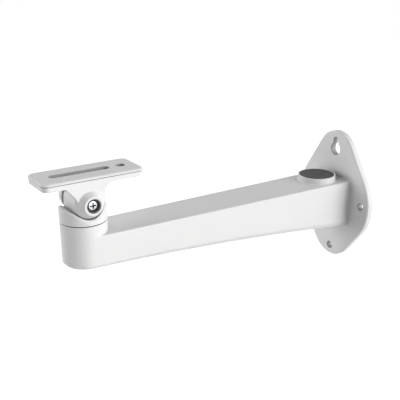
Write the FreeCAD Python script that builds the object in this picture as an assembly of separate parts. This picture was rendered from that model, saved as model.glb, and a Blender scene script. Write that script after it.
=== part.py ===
"""Wall bracket for a security camera: a cast arm, a swivel, and a tilting camera platform.

All sizes are in millimetres. +X is to the right as seen from the room, +Y points into the wall and +Z is up.
The origin is on the back face of the wall plate, halfway between its two side screw holes.
"""
import FreeCAD, Part
import math
import os

from FreeCAD import Vector

# Wall plate
PLATE_THICKNESS = 6.0
PLATE_WIDTH = 97.0
PLATE_TOP_Z = 65.5
PLATE_BOTTOM_Z = -61.0
PLATE_EDGE_CHAMFER = 1.0
TOP_LOBE_R = 24.0
SIDE_LOBE_R = 43.0
SIDE_LOBE_DROP = 1.4
BOTTOM_LOBE_R = 25.9
SIDE_SCREW_SPACING = 76.8
WALL_SCREW_HOLE_R = 3.8
LOWER_SCREW_INSET = 9.2
KEYHOLE_NECK_INSET = 9.1
KEYHOLE_NECK_R = 3.3
KEYHOLE_HEAD_R = 6.15
KEYHOLE_TRAVEL = 8.4

# Arm
REACH = 270.0
ARM_TOP_Z = 21.2
ARM_HALF_WIDTH_AT_WALL = 23.2
ARM_DEPTH_AT_SOCKET = 26.8
ARM_DEPTH_AT_MIDDLE = 33.4
ARM_DEPTH_AT_WALL = 45.8
ARM_WALL = 3.4
ARM_TOP_ROUND = 1.4
ARM_BOTTOM_CHAMFER = 2.4
ARM_ROOT_ROUND = 0.8
CAVITY_END_WALL = 3.6

# Swivel socket at the end of the arm
SOCKET_R = 18.8
SOCKET_RISE = 9.2
SOCKET_WALL = 5.8
SOCKET_RIM_CHAMFER = 0.4
SPIGOT_BORE_DEPTH = 8.4
SOCKET_WEB = 6.0
SCREW_POCKET_WALL = 6.2

# Cable collar and its plug
COLLAR_DISTANCE = 28.4
COLLAR_R = 17.9
COLLAR_RISE = 5.5
COLLAR_BASE_SLOPE = 0.9
COLLAR_HOLE_R = 14.0
PLUG_SEAT_R = 16.5
PLUG_SEAT_DEPTH = 1.9
PLUG_CLEARANCE = 0.1
PLUG_HEAD_THICKNESS = 2.1
PLUG_WALL = 1.8
PLUG_LIP_DEPTH = 1.2
PLUG_LIP_GRIP = 0.6

# Swivel base
RUNNING_CLEARANCE = 0.05
SPIGOT_LENGTH = 7.0
CRADLE_R = 12.9
CRADLE_SLOPE = 34.5
CRADLE_RIM_CHAMFER = 1.7
TONGUE_HALF_WIDTH = 10.7
TONGUE_R = 11.2
TONGUE_EDGE_CHAMFER = 0.6

# Tilt head
TILT_AXIS_RISE = 17.6
LOBE_R = 12.4
CHEEK_GAP = 0.8
SCREW_LOBE_LENGTH = 3.0
NUT_LOBE_LENGTH = 5.6
BOSS_END_X = 22.5
BOSS_END_R = 7.55
WEB_FOOT_Y = -10.3
WEB_FOOT_Z = 3.0
WEB_MIDDLE_Y = -14.1
WEB_MIDDLE_Z = 9.0
WEB_TOP_Y = -19.4
WEB_BACK = 12.0
WEB_BACK_ROUND = 8.0
PLATFORM_WIDTH = 36.0
PLATFORM_LENGTH = 84.4
PLATFORM_SETBACK = 5.0
PLATFORM_RISE = 21.5
PLATFORM_THICKNESS = 6.2
PLATFORM_CORNER_R = 5.6
PLATFORM_LIP_THICKNESS = 1.8
PLATFORM_LIP_OVERHANG = 0.5
PLATFORM_TOP_CHAMFER = 1.1
SLOT_WIDTH = 7.6
SLOT_LENGTH = 50.5
SLOT_OFFSET = -5.8
CAMERA_HOLE_R = 3.8
CAMERA_HOLE_OFFSET = 29.2

# Fasteners
THREAD_CLEARANCE = 0.02
SCREW_CLEARANCE = 0.3
TILT_SCREW_R = 2.0
TILT_HEAD_R = 4.0
TILT_HEAD_HEIGHT = 3.1
TILT_HEAD_SINK = 1.8
TILT_COUNTERBORE_R = 5.9
TILT_CUP_WALL = 0.6
TILT_CUP_FLOOR = 0.6
TILT_CUP_SINK = 0.3
TILT_CUP_CLEARANCE = 0.05
TILT_SPRING_WASHER_R = 3.9
TILT_SPRING_WASHER_THICKNESS = 1.0
TILT_NUT_WIDTH = 7.0
TILT_NUT_THICKNESS = 3.2
TILT_NUT_SINK = 1.6
TILT_SCREW_TIP = 0.5
NUT_CLEARANCE = 0.1
TILT_WASHER_R = 8.0
PAN_SCREW_R = 3.0
PAN_HEAD_R = 5.0
PAN_HEAD_HEIGHT = 6.0
PAN_KEY_WIDTH = 5.0
PAN_KEY_DEPTH = 3.0
PAN_THREAD_LENGTH = 14.5
PAN_THREAD_END_GAP = 3.0
PAN_WASHER_R = 6.0
PAN_WASHER_THICKNESS = 1.6
PAN_SPRING_WASHER_R = 5.4
PAN_SPRING_WASHER_THICKNESS = 1.6
PAN_RING_THICKNESS = 0.8
PAN_RING_INSET = 1.2
CROSS_WIDTH = 0.9
CROSS_LENGTH = 4.2
CROSS_DEPTH = 1.8
SPRING_WASHER_CUT = 1.2

# Places closer together than this count as one
SAME_PLACE = 0.01

# Places worked out from the sizes above
UP = Vector(0, 0, 1)
ACROSS = Vector(1, 0, 0)
INTO_WALL = Vector(0, 1, 0)
PLATE_FRONT_Y = -PLATE_THICKNESS
TOP_LOBE_Z = PLATE_TOP_Z - TOP_LOBE_R
SIDE_LOBE_X = PLATE_WIDTH / 2 - SIDE_LOBE_R
BOTTOM_LOBE_Z = PLATE_BOTTOM_Z + BOTTOM_LOBE_R
LOWER_SCREW_Z = PLATE_BOTTOM_Z + LOWER_SCREW_INSET
KEYHOLE_NECK_Z = PLATE_TOP_Z - KEYHOLE_NECK_INSET
KEYHOLE_HEAD_Z = KEYHOLE_NECK_Z - KEYHOLE_TRAVEL
PAN_Y = -REACH
COLLAR_Y = -COLLAR_DISTANCE
SPIGOT_BORE_R = SOCKET_R - SOCKET_WALL
SCREW_POCKET_R = SOCKET_R - SCREW_POCKET_WALL
PAN_RING_R = SOCKET_R - PAN_RING_INSET
SOCKET_TOP_Z = ARM_TOP_Z + SOCKET_RISE
TILT_AXIS_Z = SOCKET_TOP_Z + TILT_AXIS_RISE
PLATFORM_TOP_Z = TILT_AXIS_Z + PLATFORM_RISE
BASE_BOTTOM_Z = SOCKET_TOP_Z + PAN_RING_THICKNESS
WEB_TOP_Z = SOCKET_TOP_Z - SPIGOT_BORE_DEPTH
WEB_BOTTOM_Z = WEB_TOP_Z - SOCKET_WEB
CHEEK_INNER_X = TONGUE_HALF_WIDTH + CHEEK_GAP
CHEEK_OUTER_X = PLATFORM_WIDTH / 2 - PLATFORM_LIP_OVERHANG
PLATFORM_BOTTOM_Z = PLATFORM_TOP_Z - PLATFORM_THICKNESS
PLATFORM_Y = PAN_Y + PLATFORM_SETBACK
TILT_HEAD_TOP_X = BOSS_END_X - TILT_HEAD_SINK
TILT_HEAD_SEAT_X = TILT_HEAD_TOP_X - TILT_HEAD_HEIGHT
TILT_SEAT_X = TILT_HEAD_SEAT_X - TILT_SPRING_WASHER_THICKNESS
TILT_CUP_END_X = TILT_SEAT_X - TILT_CUP_FLOOR
NUT_SEAT_X = BOSS_END_X - TILT_NUT_SINK - TILT_NUT_THICKNESS
PAN_SEAT_Z = WEB_BOTTOM_Z - PAN_WASHER_THICKNESS - PAN_SPRING_WASHER_THICKNESS
SPIGOT_END_Z = BASE_BOTTOM_Z - SPIGOT_LENGTH


def arc(start, middle, end):
    """An arc edge through three points."""
    return Part.Arc(start, middle, end).toShape()


def face_from(edges):
    """A flat face inside a closed row of edges."""
    return Part.Face(Part.Wire(Part.__sortEdges__(edges)))


def polygon_face(points):
    """A flat face inside a closed row of corner points."""
    return Part.Face(Part.makePolygon(points + [points[0]]))


def hull_wire(circles, place):
    """The tight outline around circles, given counterclockwise as (across, up, radius)."""
    count = len(circles)
    normals = []
    for index, (a1, b1, r1) in enumerate(circles):
        a2, b2, r2 = circles[(index + 1) % count]
        distance = math.hypot(a2 - a1, b2 - b1)
        heading = math.atan2(b2 - b1, a2 - a1)
        normals.append(heading - math.acos((r1 - r2) / distance))

    def rim(circle, angle):
        a, b, r = circle
        return place(a + r * math.cos(angle), b + r * math.sin(angle))

    edges = []
    for index, circle in enumerate(circles):
        first = normals[index - 1]
        last = normals[index]
        while last < first:
            last += 2 * math.pi
        edges.append(arc(rim(circle, first), rim(circle, (first + last) / 2), rim(circle, last)))
        following = circles[(index + 1) % count]
        edges.append(Part.makeLine(rim(circle, last), rim(following, last)))
    return Part.Wire(edges)


def rounded(shape, radius, chosen):
    """The shape with the edges that chosen() accepts rounded off."""
    return shape.makeFillet(radius, [edge for edge in shape.Edges if chosen(edge)])


def chamfered(shape, size, chosen):
    """The shape with the edges that chosen() accepts cut off at a slope."""
    return shape.makeChamfer(size, [edge for edge in shape.Edges if chosen(edge)])


def ring(outer_r, inner_r, height, base, axis):
    """A plain washer shape."""
    outside = Part.makeCylinder(outer_r, height, base, axis)
    return outside.cut(Part.makeCylinder(inner_r, height, base, axis))


def pan_point(z):
    """A point on the swivel axis."""
    return Vector(0, PAN_Y, z)


def tilt_point(x):
    """A point on the tilt axis."""
    return Vector(x, PAN_Y, TILT_AXIS_Z)


def all_round_edges_at(z, radius, centre_y):
    """A test for the round edges of one radius that lie at height z about (0, centre_y)."""
    def chosen(edge):
        curve = edge.Curve
        if not isinstance(curve, Part.Circle):
            return False
        if abs(curve.Radius - radius) > SAME_PLACE or abs(curve.Center.z - z) > SAME_PLACE:
            return False
        return abs(curve.Center.y - centre_y) < SAME_PLACE
    return chosen


# Wall plate

def plate_blank():
    """The plate's outline, a rounded diamond with a taller top, with its front edge softened."""
    lobes = [(SIDE_LOBE_X, -SIDE_LOBE_DROP, SIDE_LOBE_R), (0, TOP_LOBE_Z, TOP_LOBE_R),
             (-SIDE_LOBE_X, -SIDE_LOBE_DROP, SIDE_LOBE_R), (0, BOTTOM_LOBE_Z, BOTTOM_LOBE_R)]
    outline = hull_wire(lobes, lambda a, b: Vector(a, 0, b))
    blank = Part.Face(outline).extrude(-INTO_WALL * PLATE_THICKNESS)
    return chamfered(blank, PLATE_EDGE_CHAMFER, lambda edge: edge.BoundBox.YMax < PLATE_FRONT_Y + SAME_PLACE)


def wall_screw_holes():
    """The cutters for the two side holes, the lower hole and the keyhole."""
    def drill(x, z, radius):
        return Part.makeCylinder(radius, 3 * PLATE_THICKNESS, Vector(x, -2 * PLATE_THICKNESS, z), INTO_WALL)

    neck_bottom = Vector(-KEYHOLE_NECK_R, -2 * PLATE_THICKNESS, KEYHOLE_HEAD_Z)
    neck = Part.makeBox(2 * KEYHOLE_NECK_R, 3 * PLATE_THICKNESS, KEYHOLE_NECK_Z - KEYHOLE_HEAD_Z, neck_bottom)
    cutters = [drill(side * SIDE_SCREW_SPACING / 2, 0, WALL_SCREW_HOLE_R) for side in (-1, 1)]
    cutters.append(drill(0, LOWER_SCREW_Z, WALL_SCREW_HOLE_R))
    cutters.append(drill(0, KEYHOLE_HEAD_Z, KEYHOLE_HEAD_R))
    cutters.append(drill(0, KEYHOLE_NECK_Z, KEYHOLE_NECK_R))
    cutters.append(neck)
    return cutters


# Arm

def arm_half_width(y):
    """Half of the arm's width in plan at a distance along it."""
    return SOCKET_R + (ARM_HALF_WIDTH_AT_WALL - SOCKET_R) * (y + REACH) / REACH


def arm_side_view(inset, back_y, end_y):
    """The arm's side view as a wide block: level on top and arched below."""
    top = ARM_TOP_Z - inset
    end_z = ARM_TOP_Z - ARM_DEPTH_AT_SOCKET + inset
    middle_z = ARM_TOP_Z - ARM_DEPTH_AT_MIDDLE + inset
    wall_z = ARM_TOP_Z - ARM_DEPTH_AT_WALL + inset
    x = -3 * SOCKET_R
    tail = Vector(x, PAN_Y, end_z)
    root = Vector(x, 0, wall_z)
    belly = arc(tail, Vector(x, PAN_Y / 2, middle_z), root)
    corners = [root, Vector(x, back_y, wall_z), Vector(x, back_y, top), Vector(x, end_y, top),
               Vector(x, end_y, end_z), tail]
    edges = [belly]
    for first, last in zip(corners, corners[1:]):
        if (last - first).Length > SAME_PLACE:
            edges.append(Part.makeLine(first, last))
    return face_from(edges).extrude(ACROSS * 6 * SOCKET_R)


def arm_plan_view(inset, back_y, end_y):
    """The arm's straight tapering sides as a tall block."""
    low = ARM_TOP_Z - 2 * ARM_DEPTH_AT_WALL
    corners = []
    for side, y in ((-1, end_y), (1, end_y), (1, back_y), (-1, back_y)):
        corners.append(Vector(side * (arm_half_width(y) - inset), y, low))
    return polygon_face(corners).extrude(UP * 3 * ARM_DEPTH_AT_WALL)


def arm_outside():
    """The solid arm with its round end, its long edges softened."""
    plan = arm_plan_view(0, 0, PAN_Y)
    end = Part.makeCylinder(SOCKET_R, 3 * ARM_DEPTH_AT_WALL, pan_point(ARM_TOP_Z - 2 * ARM_DEPTH_AT_WALL))
    plan = plan.fuse(end).removeSplitter()
    arm = plan.common(arm_side_view(0, 0, PAN_Y - 2 * SOCKET_R))

    def is_lower_edge(edge):
        box = edge.BoundBox
        across = abs(box.XMax) > SOCKET_R / 2 or abs(box.XMin) > SOCKET_R / 2
        runs_along = box.YLength > SOCKET_R / 2
        return across and runs_along and box.ZMax < ARM_TOP_Z - ARM_DEPTH_AT_SOCKET + SAME_PLACE

    def is_upper_edge(edge):
        box = edge.BoundBox
        return box.ZMin > ARM_TOP_Z - SAME_PLACE and box.YLength > REACH / 2

    arm = chamfered(arm, ARM_BOTTOM_CHAMFER, is_lower_edge)
    return rounded(arm, ARM_TOP_ROUND, is_upper_edge)


def arm_cavity():
    """The tapered cable way inside the arm, open at the back of the plate."""
    end_y = PAN_Y + SOCKET_R + CAVITY_END_WALL
    side = arm_side_view(ARM_WALL, PLATE_THICKNESS, PAN_Y - 2 * SOCKET_R)
    return arm_plan_view(ARM_WALL, PLATE_THICKNESS, end_y).common(side)


def wall_arm():
    """The one casting: wall plate, arm, cable collar and swivel socket."""
    body = arm_outside().fuse(plate_blank())

    def is_root_edge(edge):
        box = edge.BoundBox
        on_plate = box.YMin > PLATE_FRONT_Y - SAME_PLACE and box.YMax < PLATE_FRONT_Y + SAME_PLACE
        in_width = max(-box.XMin, box.XMax) < ARM_HALF_WIDTH_AT_WALL
        bottom_z = ARM_TOP_Z - ARM_DEPTH_AT_WALL
        return on_plate and in_width and box.ZMin > bottom_z - SAME_PLACE and box.ZMax < ARM_TOP_Z + SAME_PLACE

    body = rounded(body, ARM_ROOT_ROUND, is_root_edge)
    socket = Part.makeCylinder(SOCKET_R, SOCKET_RISE + ARM_TOP_ROUND, pan_point(ARM_TOP_Z - ARM_TOP_ROUND))
    socket = chamfered(socket, SOCKET_RIM_CHAMFER, all_round_edges_at(SOCKET_TOP_Z, SOCKET_R, PAN_Y))
    collar = Part.makeCylinder(COLLAR_R, COLLAR_RISE + ARM_WALL, Vector(0, COLLAR_Y, ARM_TOP_Z - ARM_WALL))
    body = body.fuse([socket, collar]).removeSplitter()
    body = chamfered(body, COLLAR_BASE_SLOPE, all_round_edges_at(ARM_TOP_Z, COLLAR_R, COLLAR_Y))
    collar_top = ARM_TOP_Z + COLLAR_RISE
    below = Vector(0, COLLAR_Y, ARM_TOP_Z - 2 * ARM_WALL)
    cutters = wall_screw_holes() + [
        arm_cavity(),
        Part.makeCylinder(COLLAR_HOLE_R, collar_top - below.z, below),
        Part.makeCylinder(PLUG_SEAT_R, PLUG_SEAT_DEPTH, Vector(0, COLLAR_Y, collar_top - PLUG_SEAT_DEPTH)),
        Part.makeCylinder(SPIGOT_BORE_R, SPIGOT_BORE_DEPTH, pan_point(WEB_TOP_Z)),
        Part.makeCylinder(PAN_SCREW_R + SCREW_CLEARANCE, SOCKET_WEB, pan_point(WEB_BOTTOM_Z)),
        Part.makeCylinder(SCREW_POCKET_R, 2 * ARM_DEPTH_AT_SOCKET, pan_point(WEB_BOTTOM_Z - 2 * ARM_DEPTH_AT_SOCKET)),
    ]
    return body.cut(cutters).removeSplitter()


def cable_plug():
    """The rubber plug: a flat head in the collar's seat and a hollow skirt with a snap lip."""
    top_z = ARM_TOP_Z + COLLAR_RISE - PLUG_SEAT_DEPTH + PLUG_HEAD_THICKNESS
    head_bottom = ARM_TOP_Z + COLLAR_RISE - PLUG_SEAT_DEPTH
    head_r = PLUG_SEAT_R - PLUG_CLEARANCE
    skirt_r = COLLAR_HOLE_R - PLUG_CLEARANCE
    wall_bottom = ARM_TOP_Z - ARM_WALL
    lip_z = wall_bottom - PLUG_CLEARANCE
    lip_r = COLLAR_HOLE_R + PLUG_LIP_GRIP
    inner_r = skirt_r - PLUG_WALL
    end_z = lip_z - PLUG_LIP_DEPTH
    profile = [(0, top_z), (head_r, top_z), (head_r, head_bottom), (skirt_r, head_bottom), (skirt_r, lip_z),
               (lip_r, lip_z), (skirt_r, end_z), (inner_r, end_z), (inner_r, head_bottom), (0, head_bottom)]
    points = [Vector(r, COLLAR_Y, z) for r, z in profile]
    return polygon_face(points).revolve(Vector(0, COLLAR_Y, 0), UP, 360)


# Swivel base

def cradle_cutter():
    """The trough along the tilt axis: a round bottom that opens into two sloping sides."""
    slope = math.radians(CRADLE_SLOPE)
    x = CHEEK_OUTER_X + 2 * SOCKET_R
    run = 3 * SOCKET_R
    corners = []
    for side in (-1, 1):
        touch_y = side * CRADLE_R * math.sin(slope)
        touch_z = -CRADLE_R * math.cos(slope)
        far_y = touch_y + side * run * math.cos(slope)
        far_z = touch_z + run * math.sin(slope)
        corners.append((Vector(-x, PAN_Y + touch_y, TILT_AXIS_Z + touch_z),
                        Vector(-x, PAN_Y + far_y, TILT_AXIS_Z + far_z)))
    bottom = tilt_point(-x) - UP * CRADLE_R
    (front_touch, front_far), (back_touch, back_far) = corners
    edges = [arc(front_touch, bottom, back_touch), Part.makeLine(back_touch, back_far),
             Part.makeLine(back_far, front_far), Part.makeLine(front_far, front_touch)]
    return face_from(edges).extrude(ACROSS * 2 * x)


def tongue():
    """The upright lug between the cheeks, with a half-round top."""
    x = -TONGUE_HALF_WIDTH
    foot_z = BASE_BOTTOM_Z
    front = PAN_Y - TONGUE_R
    back = PAN_Y + TONGUE_R
    top = Vector(x, PAN_Y, TILT_AXIS_Z + TONGUE_R)
    edges = [arc(Vector(x, front, TILT_AXIS_Z), top, Vector(x, back, TILT_AXIS_Z)),
             Part.makeLine(Vector(x, back, TILT_AXIS_Z), Vector(x, back, foot_z)),
             Part.makeLine(Vector(x, back, foot_z), Vector(x, front, foot_z)),
             Part.makeLine(Vector(x, front, foot_z), Vector(x, front, TILT_AXIS_Z))]
    lug = face_from(edges).extrude(ACROSS * 2 * TONGUE_HALF_WIDTH)

    def is_outline_edge(edge):
        box = edge.BoundBox
        return box.XLength < SAME_PLACE and box.ZMax > foot_z + SAME_PLACE

    return chamfered(lug, TONGUE_EDGE_CHAMFER, is_outline_edge)


def swivel_base():
    """The turntable: a round body with a cradle for the cheeks, a tongue and a spigot below."""
    height = TILT_AXIS_Z - BASE_BOTTOM_Z
    drum = Part.makeCylinder(SOCKET_R, height, pan_point(BASE_BOTTOM_Z)).cut(cradle_cutter())

    def is_cradle_rim(edge):
        middle = edge.valueAt((edge.FirstParameter + edge.LastParameter) / 2)
        on_side = abs(math.hypot(middle.x, middle.y - PAN_Y) - SOCKET_R) < SAME_PLACE
        return on_side and edge.BoundBox.ZLength > SAME_PLACE and not isinstance(edge.Curve, Part.Line)

    drum = chamfered(drum, CRADLE_RIM_CHAMFER, is_cradle_rim)
    spigot_r = SPIGOT_BORE_R - RUNNING_CLEARANCE
    spigot = Part.makeCylinder(spigot_r, SPIGOT_LENGTH, pan_point(SPIGOT_END_Z))
    base = drum.fuse([tongue(), spigot]).removeSplitter()
    thread = Part.makeCylinder(PAN_SCREW_R + THREAD_CLEARANCE, PAN_THREAD_LENGTH + PAN_THREAD_END_GAP,
                               pan_point(SPIGOT_END_Z))
    pivot = Part.makeCylinder(TILT_SCREW_R + RUNNING_CLEARANCE, 2 * TONGUE_HALF_WIDTH,
                              tilt_point(-TONGUE_HALF_WIDTH), ACROSS)
    return base.cut([thread, pivot])


# Tilt head

def cheek(side, lobe_length):
    """One cheek: the web below the platform and the round lobe with its coned boss."""
    inner = side * CHEEK_INNER_X
    thickness = CHEEK_OUTER_X - CHEEK_INNER_X
    roof = PLATFORM_BOTTOM_Z + PLATFORM_THICKNESS / 2

    def at(y, z):
        return Vector(inner, PAN_Y + y, TILT_AXIS_Z + z)

    under = PLATFORM_BOTTOM_Z - TILT_AXIS_Z
    inside = roof - TILT_AXIS_Z
    bend = WEB_BACK_ROUND * (1 - math.sqrt(0.5))
    edges = [
        arc(at(WEB_FOOT_Y, WEB_FOOT_Z), at(WEB_MIDDLE_Y, WEB_MIDDLE_Z), at(WEB_TOP_Y, under)),
        Part.makeLine(at(WEB_TOP_Y, under), at(WEB_TOP_Y, inside)),
        Part.makeLine(at(WEB_TOP_Y, inside), at(WEB_BACK + WEB_BACK_ROUND, inside)),
        Part.makeLine(at(WEB_BACK + WEB_BACK_ROUND, inside), at(WEB_BACK + WEB_BACK_ROUND, under)),
        arc(at(WEB_BACK + WEB_BACK_ROUND, under), at(WEB_BACK + bend, under - bend),
            at(WEB_BACK, under - WEB_BACK_ROUND)),
        Part.makeLine(at(WEB_BACK, under - WEB_BACK_ROUND), at(WEB_BACK, 0)),
        Part.makeLine(at(WEB_BACK, 0), at(0, 0)),
        Part.makeLine(at(0, 0), at(WEB_FOOT_Y, WEB_FOOT_Z)),
    ]
    web = face_from(edges).extrude(ACROSS * side * thickness)
    axis = ACROSS * side
    lobe = Part.makeCylinder(LOBE_R, lobe_length, tilt_point(inner), axis)
    cone_start = CHEEK_INNER_X + lobe_length
    boss = Part.makeCone(LOBE_R, BOSS_END_R, BOSS_END_X - cone_start, tilt_point(side * cone_start), axis)
    return web.fuse([lobe, boss]).removeSplitter()


def platform_layer(inset, bottom, top):
    """A flat slab with the platform's round corners, smaller all round by inset."""
    half_x = PLATFORM_WIDTH / 2 - PLATFORM_CORNER_R
    half_y = PLATFORM_LENGTH / 2 - PLATFORM_CORNER_R
    corners = [(half_x, half_y), (-half_x, half_y), (-half_x, -half_y), (half_x, -half_y)]
    circles = [(x, y, PLATFORM_CORNER_R - inset) for x, y in corners]
    outline = hull_wire(circles, lambda a, b: Vector(a, PLATFORM_Y + b, bottom))
    return Part.Face(outline).extrude(UP * (top - bottom))


def platform_plate():
    """The camera plate: a lip with a softened top edge that stands out all round over a thicker body."""
    lip_bottom = PLATFORM_TOP_Z - PLATFORM_LIP_THICKNESS
    lip = platform_layer(0, lip_bottom, PLATFORM_TOP_Z)
    lip = chamfered(lip, PLATFORM_TOP_CHAMFER, lambda edge: edge.BoundBox.ZMin > PLATFORM_TOP_Z - SAME_PLACE)
    body = platform_layer(PLATFORM_LIP_OVERHANG, PLATFORM_BOTTOM_Z, lip_bottom)
    return lip.fuse(body).removeSplitter()


def camera_openings():
    """The cutters for the long camera slot and the round hole behind it."""
    half = SLOT_LENGTH / 2 - SLOT_WIDTH / 2
    slot_y = PLATFORM_Y + SLOT_OFFSET
    bottom = PLATFORM_BOTTOM_Z - PLATFORM_THICKNESS
    circles = [(0, slot_y + half, SLOT_WIDTH / 2), (0, slot_y - half, SLOT_WIDTH / 2)]
    slot = Part.Face(hull_wire(circles, lambda a, b: Vector(a, b, bottom))).extrude(UP * 3 * PLATFORM_THICKNESS)
    hole = Part.makeCylinder(CAMERA_HOLE_R, 3 * PLATFORM_THICKNESS,
                             Vector(0, PLATFORM_Y + CAMERA_HOLE_OFFSET, bottom))
    return [slot, hole]


def hexagon(width, height, base, axis):
    """A six-sided bar, given its width across flats."""
    radius = width / math.sqrt(3)
    points = [Vector(radius * math.cos(math.radians(60 * i)), radius * math.sin(math.radians(60 * i)), 0)
              for i in range(6)]
    bar = polygon_face(points).extrude(UP * height)
    bar.Placement = FreeCAD.Placement(base, FreeCAD.Rotation(UP, axis))
    return bar


def tilt_head():
    """The camera platform with its two cheeks, bored for the tilt screw."""
    cheeks = [cheek(1, SCREW_LOBE_LENGTH), cheek(-1, NUT_LOBE_LENGTH)]
    head = platform_plate().fuse(cheeks).removeSplitter()
    through = PLATFORM_WIDTH * 2
    cutters = camera_openings() + [
        Part.makeCylinder(TILT_SCREW_R + SCREW_CLEARANCE, through, tilt_point(-through / 2), ACROSS),
        Part.makeCylinder(TILT_COUNTERBORE_R, through, tilt_point(TILT_CUP_END_X), ACROSS),
        hexagon(TILT_NUT_WIDTH + 2 * NUT_CLEARANCE, through, tilt_point(-NUT_SEAT_X), -ACROSS),
    ]
    return head.cut(cutters).removeSplitter()


# Fasteners

def tilt_screw():
    """The pan-head machine screw with a cross recess that clamps the cheeks on the tongue."""
    head = Part.makeCylinder(TILT_HEAD_R, TILT_HEAD_HEIGHT, tilt_point(TILT_HEAD_SEAT_X), ACROSS)
    tip = NUT_SEAT_X + TILT_NUT_THICKNESS + TILT_SCREW_TIP
    shank = Part.makeCylinder(TILT_SCREW_R, TILT_HEAD_SEAT_X + tip, tilt_point(-tip), ACROSS)
    cutters = []
    for wide, tall in ((CROSS_LENGTH, CROSS_WIDTH), (CROSS_WIDTH, CROSS_LENGTH)):
        corner = Vector(TILT_HEAD_TOP_X - CROSS_DEPTH, PAN_Y - wide / 2, TILT_AXIS_Z - tall / 2)
        cutters.append(Part.makeBox(CROSS_DEPTH, wide, tall, corner))
    return head.fuse(shank).cut(cutters).removeSplitter()


def split_washer(outer_r, inner_r, thickness, base, axis, beside):
    """A spring washer: a flat ring with one cut through it, on the side that beside points to."""
    washer = ring(outer_r, inner_r, thickness, base, axis)
    along = beside * outer_r * 2
    side = axis.cross(beside) * SPRING_WASHER_CUT
    start = base - side * 0.5
    gap = polygon_face([start, start + along, start + along + side, start + side]).extrude(axis * thickness)
    return washer.cut(gap)


def tilt_spring_washer():
    """The spring washer under the tilt screw's head."""
    return split_washer(TILT_SPRING_WASHER_R, TILT_SCREW_R + THREAD_CLEARANCE, TILT_SPRING_WASHER_THICKNESS,
                        tilt_point(TILT_SEAT_X), ACROSS, UP)


def tilt_screw_cup():
    """The dark cup that lines the counterbore and carries the spring washer."""
    outer_r = TILT_COUNTERBORE_R - TILT_CUP_CLEARANCE
    length = BOSS_END_X - TILT_CUP_SINK - TILT_CUP_END_X
    cup = Part.makeCylinder(outer_r, length, tilt_point(TILT_CUP_END_X), ACROSS)
    inside = Part.makeCylinder(outer_r - TILT_CUP_WALL, length, tilt_point(TILT_SEAT_X), ACROSS)
    hole = Part.makeCylinder(TILT_SCREW_R + SCREW_CLEARANCE, length, tilt_point(TILT_CUP_END_X), ACROSS)
    return cup.cut([inside, hole])


def tilt_nut():
    """The hexagon nut held in the pocket of the far cheek."""
    nut = hexagon(TILT_NUT_WIDTH, TILT_NUT_THICKNESS, tilt_point(-NUT_SEAT_X), -ACROSS)
    hole = Part.makeCylinder(TILT_SCREW_R + THREAD_CLEARANCE, TILT_NUT_THICKNESS, tilt_point(-NUT_SEAT_X), -ACROSS)
    return nut.cut(hole)


def tilt_friction_washers():
    """The two thin washers between the tongue and the cheeks."""
    inner_r = TILT_SCREW_R + RUNNING_CLEARANCE
    washers = []
    for side in (-1, 1):
        start = tilt_point(side * TONGUE_HALF_WIDTH)
        washers.append(ring(TILT_WASHER_R, inner_r, CHEEK_GAP, start, ACROSS * side))
    return Part.makeCompound(washers)


def pan_friction_ring():
    """The thin ring that the swivel base turns on."""
    return ring(PAN_RING_R, SPIGOT_BORE_R, PAN_RING_THICKNESS, pan_point(SOCKET_TOP_Z), UP)


def pan_washer():
    """The flat washer against the web of the socket."""
    return ring(PAN_WASHER_R, PAN_SCREW_R + SCREW_CLEARANCE, PAN_WASHER_THICKNESS, pan_point(WEB_BOTTOM_Z), -UP)


def pan_spring_washer():
    """The spring washer between the flat washer and the pan screw's head."""
    start = pan_point(WEB_BOTTOM_Z - PAN_WASHER_THICKNESS)
    return split_washer(PAN_SPRING_WASHER_R, PAN_SCREW_R + THREAD_CLEARANCE, PAN_SPRING_WASHER_THICKNESS,
                        start, -UP, ACROSS)


def pan_screw():
    """The socket-head screw that holds the swivel base down from below."""
    head = Part.makeCylinder(PAN_HEAD_R, PAN_HEAD_HEIGHT, pan_point(PAN_SEAT_Z), -UP)
    length = SPIGOT_END_Z + PAN_THREAD_LENGTH - PAN_SEAT_Z
    shank = Part.makeCylinder(PAN_SCREW_R, length, pan_point(PAN_SEAT_Z))
    key = hexagon(PAN_KEY_WIDTH, PAN_KEY_DEPTH, pan_point(PAN_SEAT_Z - PAN_HEAD_HEIGHT), UP)
    return head.fuse(shank).cut(key).removeSplitter()


NODES = {
    "wall_arm": wall_arm,
    "cable_plug": cable_plug,
    "swivel_base": swivel_base,
    "pan_friction_ring": pan_friction_ring,
    "pan_washer": pan_washer,
    "pan_spring_washer": pan_spring_washer,
    "pan_screw": pan_screw,
    "tilt_head": tilt_head,
    "tilt_friction_washers": tilt_friction_washers,
    "tilt_screw_cup": tilt_screw_cup,
    "tilt_screw": tilt_screw,
    "tilt_spring_washer": tilt_spring_washer,
    "tilt_nut": tilt_nut,
}

os.makedirs("parts", exist_ok=True)
for name, make in NODES.items():
    shape = make()
    shape.exportStep("parts/" + name + ".step")
    print(name, "valid" if shape.isValid() else "INVALID", len(shape.Solids), round(shape.Volume, 1))
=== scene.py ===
"""Looks of the camera wall bracket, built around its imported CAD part.

Sizes in the classes are millimetres in the part's own frame: +X to the right as seen from the room, +Y into
the wall, +Z up. Meshes are made in millimetres and scaled to metres as they are put in place.
"""

import logging
import math
from collections.abc import Callable
from dataclasses import dataclass, field
from enum import Enum

import bmesh
import bpy
from mathutils import Matrix, Vector

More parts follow.
